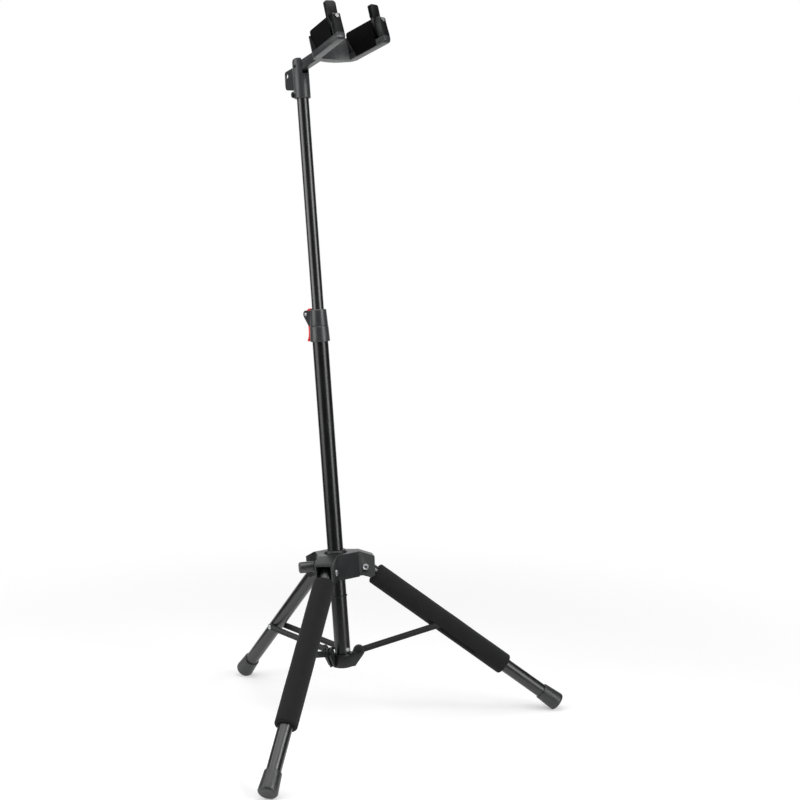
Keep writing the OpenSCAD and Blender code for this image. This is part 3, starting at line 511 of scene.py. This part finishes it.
# moulded and pressed pieces: body, finish and edge radius in mm
moulded = {"hub_body": ("hub", satinNylon, 1.0), "brace_collar": ("column", texturedCoat, 0.5),
           "clutch_body": ("column", mouldedNylon, 0.5), "clutch_trigger": ("trigger", redAbs, 0.7),
           "head_housing": ("mast", mouldedNylon, 0.6), "neck_fork": ("fork", mouldedNylon, 0.6),
           "gate_left": ("gate_left", polishedNylon, 0.6), "gate_right": ("gate_right", polishedNylon, 0.6),
           "lock_knob": ("lock", mouldedNylon, 0.4), "hub_bush": ("hub", polishedNylon, 0.3),
           "brace_left": ("brace_left", texturedCoat, 0.3),
           "brace_right": ("brace_right", texturedCoat, 0.3),
           "brace_rear": ("brace_rear", texturedCoat, 0.3)}
softPieces = {node: makePiece("soft_" + node, softened(node, radius), material, body, node, 40)
              for node, (body, material, radius) in moulded.items()}
print("moulded pieces softened:", len(softPieces))


# the fork's prongs take the darker polished nylon from the rails' tops up, the rest keeps the eroded one;
# the dark there is partly a polished face of the tool and partly painted shade on the posts' fronts and the
# heels
prong = {"halfWidth": 6.8, "front": -20, "rear": 66, "railTop": -25.8}  # in mm from the gate's axis


def polishAndShadeProngs(mesh):
    bm = bmesh.new()
    bm.from_mesh(mesh)
    p = prong

    def isNear(place):
        return abs(place.x) < p["halfWidth"] * mm and p["front"] * mm < place.y < p["rear"] * mm

    for side in ("left", "right"):
        toProng = prongMatrix(side).inverted()
        upward = prongMatrix(side).to_3x3() @ Vector((0, 0, 1))
        level = prongMatrix(side) @ Vector((0, 0, p["railTop"] * mm))
        faces = [f for f in bm.faces if isNear(toProng @ f.calc_center_median())]
        edges = {e for f in faces for e in f.edges}
        corners = {v for f in faces for v in f.verts}
        around = list(corners) + list(edges) + faces
        bmesh.ops.bisect_plane(bm, geom=around, plane_co=level, plane_no=upward)
        for face in bm.faces:
            place = toProng @ face.calc_center_median()
            if isNear(place) and place.z > p["railTop"] * mm:
                # the darker colour of these faces is partly painted shade
                face.material_index = 1
    bm.to_mesh(mesh)
    bm.free()
    mesh.materials.append(polishedNylon)


polishAndShadeProngs(softPieces["neck_fork"].data)
print("prongs polished")


# pivot rivets: a shank with an upset head and an open end at each side, grown from one cylinder
rivets = {"shankMm": 2.4, "headMm": 1.6, "boreMm": 5, "sides": 36, "searchMm": 12}


def rivetTree():
    tree = bpy.data.node_groups.new("pivotRivets", "GeometryNodeTree")
    floats = ("Shank Radius", "Half Length", "Head Scale", "Head Height", "Bore Depth")
    tree.interface.new_socket("Geometry", in_out="INPUT", socket_type="NodeSocketGeometry")
    for name in floats:
        tree.interface.new_socket(name, in_out="INPUT", socket_type="NodeSocketFloat")
    tree.interface.new_socket("Material", in_out="INPUT", socket_type="NodeSocketMaterial")
    tree.interface.new_socket("Geometry", in_out="OUTPUT", socket_type="NodeSocketGeometry")
    given = addNode(tree, "NodeGroupInput").outputs
    doubled = addNode(tree, "ShaderNodeMath", {"operation": "ADD"},
                      links={0: given["Half Length"], 1: given["Half Length"]})
    shank = addNode(tree, "GeometryNodeMeshCylinder", {"fill_type": "NGON"}, {"Vertices": rivets["sides"]},
                    {"Radius": given["Shank Radius"], "Depth": doubled.outputs[0]})
    ends = addNode(tree, "FunctionNodeBooleanMath", {"operation": "OR"},
                   links={0: shank.outputs["Top"], 1: shank.outputs["Bottom"]}).outputs[0]
    body = shank.outputs["Mesh"]
    # each step lifts both ends by a share of a size, then widens or narrows them
    steps = [("Head Height", 0.0, given["Head Scale"]), ("Head Height", 0.55, 1.0),
             ("Head Height", 0.3, 0.93), ("Head Height", 0.15, 0.86), ("Head Height", -0.1, 0.78),
             ("Bore Depth", -0.1, 0.72), ("Bore Depth", -0.9, 0.96)]
    for size, share, factor in steps:
        lift = addNode(tree, "ShaderNodeMath", {"operation": "MULTIPLY"}, {1: share}, {0: given[size]})
        grown = addNode(tree, "GeometryNodeExtrudeMesh", {"mode": "FACES"},
                        links={"Mesh": body, "Selection": ends, "Offset Scale": lift.outputs[0]})
        ends = grown.outputs["Top"]
        scaled = addNode(tree, "GeometryNodeScaleElements", {"domain": "FACE"},
                         links={"Geometry": grown.outputs["Mesh"], "Selection": ends})
        if isinstance(factor, float):
            scaled.inputs["Scale"].default_value = factor
        else:
            tree.links.new(factor, scaled.inputs["Scale"])
        body = scaled.outputs["Geometry"]
    axis = addNode(tree, "GeometryNodeInputNamedAttribute", {"data_type": "FLOAT_VECTOR"}, {"Name": "axis"})
    turned = addNode(tree, "FunctionNodeAlignRotationToVector", {"axis": "Z"},
                     links={"Vector": axis.outputs["Attribute"]})
    spread = addNode(tree, "GeometryNodeInstanceOnPoints", links={"Points": given["Geometry"],
                     "Instance": body, "Rotation": turned.outputs["Rotation"]})
    real = addNode(tree, "GeometryNodeRealizeInstances", links={"Geometry": spread.outputs["Instances"]})
    painted = addNode(tree, "GeometryNodeSetMaterial", links={"Geometry": real.outputs["Geometry"],
                      "Material": given["Material"]})
    addNode(tree, "NodeGroupOutput", links={"Geometry": painted.outputs["Geometry"]})
    return tree


# half length and head radius of the frame's rivet, from its points near the pivot
def rivetSize(node, pivot, axis):
    reach, radius = 0.0, 0.0
    for vertex in nodes[node].data.vertices:
        offset = nodes[node].matrix_world @ vertex.co - pivot
        along = offset.dot(axis)
        across = (offset - axis * along).length
        if across < rivets["searchMm"] * mm:
            reach, radius = max(reach, abs(along)), max(radius, across)
    return reach, radius


def makeRivets(tree, node, body, material, spots):
    mesh = bpy.data.meshes.new(node)
    mesh.from_pydata([spot for spot, axis in spots], [], [])
    axes = mesh.attributes.new("axis", "FLOAT_VECTOR", "POINT")
    for i, (spot, axis) in enumerate(spots):
        axes.data[i].vector = axis
    reach, radius = rivetSize(node, *spots[0])
    values = {"Shank Radius": rivets["shankMm"] * mm, "Half Length": reach - rivets["headMm"] * mm,
              "Head Scale": radius / (rivets["shankMm"] * mm), "Head Height": rivets["headMm"] * mm,
              "Bore Depth": rivets["boreMm"] * mm, "Material": material}
    work = worker(mesh)
    modifier = work.modifiers.new("rivets", "NODES")
    modifier.node_group = tree
    for item in tree.interface.items_tree:
        if item.in_out == "INPUT" and item.name in values:
            modifier[item.identifier] = values[item.name]
    makePiece("turned_" + node, settled(work), material, body, node, 40)


def pivotOf(joint):
    return Vector(joints[joint]["pos_m"]), Vector(joints[joint]["axis"]).normalized()


hubPivots = [pivotOf("leg_fold_" + side) for side in legLengths]
makeRivets(rivetTree(), "hub_rivets", "hub", zincPlate, hubPivots)
print("rivets made")


# pieces of the frame that stay as they are, with their finish
kept = {"column_end_plug": polishedNylon, "column_rivet": zincPlate, "stop_ring": blackOxide,
        "collar_pins": blackOxide, "guide_bush": naturalNylon, "slide_bush": naturalNylon,
        "head_screw": blackOxide, "fork_pin": blackOxide, "gate_pins": zincPlate, "clutch_pin": zincPlate,
        "lock_screw": zincPlate, "leg_plug_left": mouldedNylon, "leg_plug_right": mouldedNylon,
        "leg_plug_rear": mouldedNylon, "brace_rivets_left": zincPlate, "brace_rivets_right": zincPlate,
        "brace_rivets_rear": zincPlate}
for node, material in kept.items():
    nodes[node].data.materials.clear()
    nodes[node].data.materials.append(material)
print("plain pieces finished:", len(kept))


# black for the curtain that only reflections meet, so that it paints a dark reflection on the gloss parts
reflectionOnlyBlack = makeFinish("reflectionOnlyBlack", {
    "dark": "#19191a", "light": "#1f1f20", "driftMm": 25, "roughness": (0.88, 0.98),
    "grain": "cells", "grainMm": 1.1, "grainStrength": 0.6, "grainDepthMm": 0.12,
    "shader": {"IOR": 1.45, "Specular IOR Level": 0.2, "Sheen Weight": 0.05, "Sheen Roughness": 0.6}})


# studio: white floor and surround, softboxes, and a black curtain on the camera's side that only
# reflections meet, so that the gloss paint keeps its dark middle between two bright bands
studio = {"white": "#ffffff", "paper": "#e6e6e6", "floorRadius": 30, "floorSides": 96, "fadeNear": 0.5,
          "fadeFar": 1.2, "fill": 0.3, "floorGlow": 0.34, "curtainRadius": 4.5, "curtainNear": 0.5,
          "curtainLow": 0.003, "curtainHeight": 5.0, "curtainSpan": 140, "curtainSteps": 56}
towardCamera = math.atan2(camera["place"][1], camera["place"][0])
frontFoot = (-0.27, -0.22, 0.05)  # the one nearest to the camera
openSpread = 180
gridSpread = 50
# turn from the camera's side in degrees, distance, height, aim, size, radiance and spread;
# the two with a grid give the leg that points at the camera its bands
softboxes = {"left": (-70, 2.4, 1.0, (0, 0, 0.6), (1.9, 2.4), 2.4, openSpread),
             "right": (52, 2.4, 0.95, (0, 0, 0.57), (1.0, 2.2), 4.2, openSpread),
             "front": (68, 1.47, 1.43, frontFoot, (0.55, 0.55), 12.0, gridSpread),
             "rear": (-100, 1.4, 1.44, frontFoot, (0.7, 0.7), 3.6, gridSpread),
             "top": (0, 0, 3.0, (0, 0, 0), (2.4, 2.4), 1.6, openSpread)}


# share of the rays that see the white surround: those of the camera, of reflections and through glass
def seenBy(tree):
    path = addNode(tree, "ShaderNodeLightPath").outputs
    first = addNode(tree, "ShaderNodeMath", {"operation": "MAXIMUM"},
                    links={0: path["Is Camera Ray"], 1: path["Is Glossy Ray"]})
    both = addNode(tree, "ShaderNodeMath", {"operation": "MAXIMUM"},
                   links={0: first.outputs[0], 1: path["Is Transmission Ray"]})
    return both.outputs[0]


def makeWorld():
    world = bpy.data.worlds.new("studio")
    bpy.context.scene.world = world
    world.use_nodes = True
    tree = world.node_tree
    tree.nodes.clear()
    white = linear(studio["white"])
    fill = addNode(tree, "ShaderNodeBackground", values={"Color": white, "Strength": studio["fill"]})
    shown = addNode(tree, "ShaderNodeBackground", values={"Color": white, "Strength": 1.0})
    mixed = addNode(tree, "ShaderNodeMixShader",
                    links={0: seenBy(tree), 1: fill.outputs[0], 2: shown.outputs[0]})
    addNode(tree, "ShaderNodeOutputWorld", links={"Surface": mixed.outputs[0]})


def makeFloor():
    bm = bmesh.new()
    bmesh.ops.create_circle(bm, cap_ends=True, segments=studio["floorSides"], radius=studio["floorRadius"])
    mesh = meshFrom(bm, "floor", Matrix())
    if mesh.polygons[0].normal.z < 0:
        mesh.flip_normals()
    floor = bpy.data.objects.new("floor", mesh)
    bpy.context.scene.collection.objects.link(floor)
    material = bpy.data.materials.new("paperFloor")
    material.use_nodes = True
    tree = material.node_tree
    tree.nodes.clear()
    coords = addNode(tree, "ShaderNodeTexCoord").outputs["Object"]
    away = addNode(tree, "ShaderNodeVectorMath", {"operation": "LENGTH"}, links={0: coords})
    fade = addNode(tree, "ShaderNodeMapRange", {"interpolation_type": "SMOOTHSTEP"},
                   {"From Min": studio["fadeNear"], "From Max": studio["fadeFar"]},
                   {"Value": away.outputs["Value"]})
    paper = addNode(tree, "ShaderNodeBsdfDiffuse", values={"Color": linear(studio["paper"])})
    lift = addNode(tree, "ShaderNodeMath", {"operation": "MULTIPLY"}, {1: studio["floorGlow"]},
                   {0: seenBy(tree)})
    glow = addNode(tree, "ShaderNodeEmission", values={"Color": linear(studio["white"])},
                   links={"Strength": lift.outputs[0]})
    near = addNode(tree, "ShaderNodeAddShader", links={0: paper.outputs[0], 1: glow.outputs[0]})
    white = addNode(tree, "ShaderNodeEmission", values={"Color": linear(studio["white"]), "Strength": 1.0})
    mixed = addNode(tree, "ShaderNodeMixShader",
                    links={0: fade.outputs["Result"], 1: near.outputs[0], 2: white.outputs[0]})
    # from below the floor is clear, so that the underside can be looked at
    back = addNode(tree, "ShaderNodeNewGeometry").outputs["Backfacing"]
    clear = addNode(tree, "ShaderNodeBsdfTransparent")
    shown = addNode(tree, "ShaderNodeMixShader", links={0: back, 1: mixed.outputs[0], 2: clear.outputs[0]})
    addNode(tree, "ShaderNodeOutputMaterial", links={"Surface": shown.outputs[0]})
    mesh.materials.append(material)


def makeCurtain():
    bm = bmesh.new()
    radius, near, steps = studio["curtainRadius"], studio["curtainNear"], studio["curtainSteps"]
    low, top = studio["curtainLow"], studio["curtainHeight"]
    columns = []
    for i in range(steps + 1):
        angle = towardCamera + math.radians(studio["curtainSpan"] * (2 * i / steps - 1))
        columns.append([bm.verts.new((r * math.cos(angle), r * math.sin(angle), z))
                        for r, z in ((near, low), (radius, low), (radius, top))])
    for a, b in zip(columns, columns[1:]):
        for k in (0, 1):
            bm.faces.new((a[k], b[k], b[k + 1], a[k + 1]))
    mesh = meshFrom(bm, "curtain", Matrix())
    curtain = bpy.data.objects.new("curtain", mesh)
    bpy.context.scene.collection.objects.link(curtain)
    # the curtain is seen by reflections alone, as a painted dark reflection; it neither shows nor shades
    for rays in ("visible_camera", "visible_diffuse", "visible_transmission", "visible_shadow"):
        setattr(curtain, rays, False)
    mesh.materials.append(reflectionOnlyBlack)


def makeLamp(name, place, target, size, radiance, spread):
    lamp = bpy.data.lights.new(name, "AREA")
    lamp.shape = "RECTANGLE"
    lamp.size, lamp.size_y = size
    lamp.energy = radiance * math.pi * size[0] * size[1]
    if spread < openSpread:  # a grid gathers the light along its axis, so it needs less power
        half = math.radians(spread) / 2
        lamp.spread = 2 * half
        lamp.energy *= (math.tan(half) - half) / math.tan(half)
    lampObject = bpy.data.objects.new(name, lamp)
    lampObject.location = place
    lampObject.rotation_euler = (Vector(target) - Vector(place)).to_track_quat("-Z", "Y").to_euler()
    lampObject.visible_camera = False
    bpy.context.scene.collection.objects.link(lampObject)


makeWorld()
makeFloor()
makeCurtain()
for name, (turn, distance, height, aim, size, radiance, spread) in softboxes.items():
    angle = towardCamera + math.radians(turn)
    spot = (distance * math.cos(angle), distance * math.sin(angle), height)
    makeLamp("softbox_" + name, spot, aim, size, radiance, spread)
print("studio lit")
